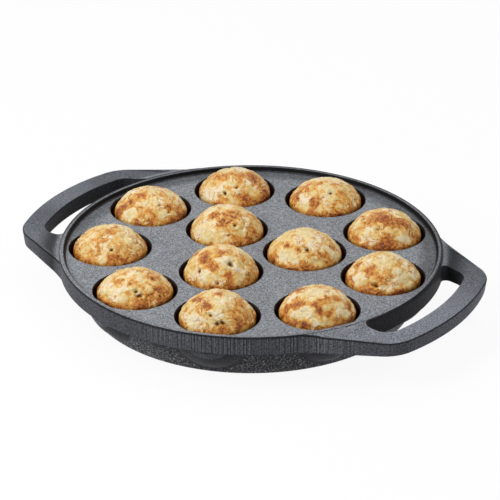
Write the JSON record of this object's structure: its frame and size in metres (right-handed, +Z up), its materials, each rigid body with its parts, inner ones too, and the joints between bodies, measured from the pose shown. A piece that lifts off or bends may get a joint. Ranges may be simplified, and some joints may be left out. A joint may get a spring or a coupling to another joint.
{
  "type": "paniyaram pan",
  "caption": "Round cast-iron pan with domed cups in rings, a raised lip, a conical skirt and loop side handles; a cooked dumpling lies loose in each cup and lifts out.",
  "frame": {"origin": "middle of the base, on the surface that the pan stands on", "axes": "+Z up, +X through the middle of both loop handles, +Y through the first outer cup"},
  "size_m": [0.275, 0.22, 0.0437],
  "materials": {
    "cast_iron": "bare sand-cast iron, grey and finely grained on top, rougher and darker on the skirt, ground along the band",
    "fried_batter": "pan-fried rice batter, pale cream browned in patches, with burst bubbles and a thin film of oil"
  },
  "bodies": {
    "pan": {"pan_casting": "cast_iron"},
    "outer_1": {"paniyaram_outer_1": "fried_batter"},
    "outer_2": {"paniyaram_outer_2": "fried_batter"},
    "outer_3": {"paniyaram_outer_3": "fried_batter"},
    "outer_4": {"paniyaram_outer_4": "fried_batter"},
    "outer_5": {"paniyaram_outer_5": "fried_batter"},
    "outer_6": {"paniyaram_outer_6": "fried_batter"},
    "outer_7": {"paniyaram_outer_7": "fried_batter"},
    "outer_8": {"paniyaram_outer_8": "fried_batter"},
    "outer_9": {"paniyaram_outer_9": "fried_batter"},
    "inner_1": {"paniyaram_inner_1": "fried_batter"},
    "inner_2": {"paniyaram_inner_2": "fried_batter"},
    "inner_3": {"paniyaram_inner_3": "fried_batter"}
  },
  "joints": [
    {"name": "lift_outer_1", "type": "slide", "parent": "pan", "child": "outer_1", "axis": [0, 0, 1], "range_m": [0, 0.06]},
    {"name": "lift_outer_2", "type": "slide", "parent": "pan", "child": "outer_2", "axis": [0, 0, 1], "range_m": [0, 0.06]},
    {"name": "lift_outer_3", "type": "slide", "parent": "pan", "child": "outer_3", "axis": [0, 0, 1], "range_m": [0, 0.06]},
    {"name": "lift_outer_4", "type": "slide", "parent": "pan", "child": "outer_4", "axis": [0, 0, 1], "range_m": [0, 0.06]},
    {"name": "lift_outer_5", "type": "slide", "parent": "pan", "child": "outer_5", "axis": [0, 0, 1], "range_m": [0, 0.06]},
    {"name": "lift_outer_6", "type": "slide", "parent": "pan", "child": "outer_6", "axis": [0, 0, 1], "range_m": [0, 0.06]},
    {"name": "lift_outer_7", "type": "slide", "parent": "pan", "child": "outer_7", "axis": [0, 0, 1], "range_m": [0, 0.06]},
    {"name": "lift_outer_8", "type": "slide", "parent": "pan", "child": "outer_8", "axis": [0, 0, 1], "range_m": [0, 0.06]},
    {"name": "lift_outer_9", "type": "slide", "parent": "pan", "child": "outer_9", "axis": [0, 0, 1], "range_m": [0, 0.06]},
    {"name": "lift_inner_1", "type": "slide", "parent": "pan", "child": "inner_1", "axis": [0, 0, 1], "range_m": [0, 0.06]},
    {"name": "lift_inner_2", "type": "slide", "parent": "pan", "child": "inner_2", "axis": [0, 0, 1], "range_m": [0, 0.06]},
    {"name": "lift_inner_3", "type": "slide", "parent": "pan", "child": "inner_3", "axis": [0, 0, 1], "range_m": [0, 0.06]}
  ]
}
